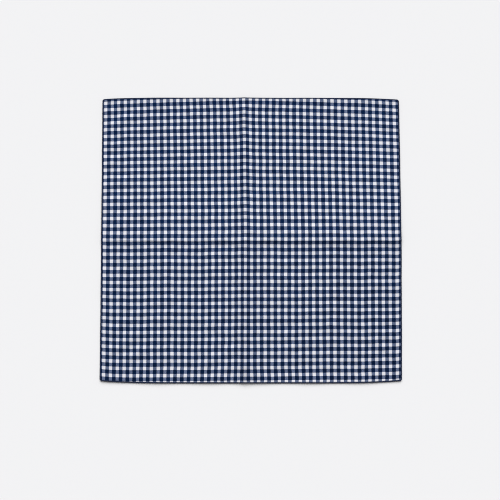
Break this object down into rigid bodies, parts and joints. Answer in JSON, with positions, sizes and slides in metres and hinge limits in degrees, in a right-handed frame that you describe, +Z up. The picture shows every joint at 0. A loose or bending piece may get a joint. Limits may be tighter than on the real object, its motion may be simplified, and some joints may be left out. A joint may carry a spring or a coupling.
{
  "type": "square scarf",
  "caption": "Square woven cotton scarf in navy and white gingham with a narrow rolled hem, laid out flat with its fold creases standing up as ridges.",
  "frame": {"origin": "on the surface that the scarf lies on, under the middle of its outline's box", "axes": "+Z up from the surface, +X along the wider way of the cloth, +Y towards the top edge in the picture"},
  "size_m": [0.5584, 0.5342, 0.0134],
  "materials": {
    "gingham_cotton": "plain-woven cotton in navy and white checks, matte",
    "hem_thread": "navy overlock thread, slight sheen"
  },
  "bodies": {
    "root": {"scarf_cloth": "gingham_cotton"}
  },
  "joints": []
}
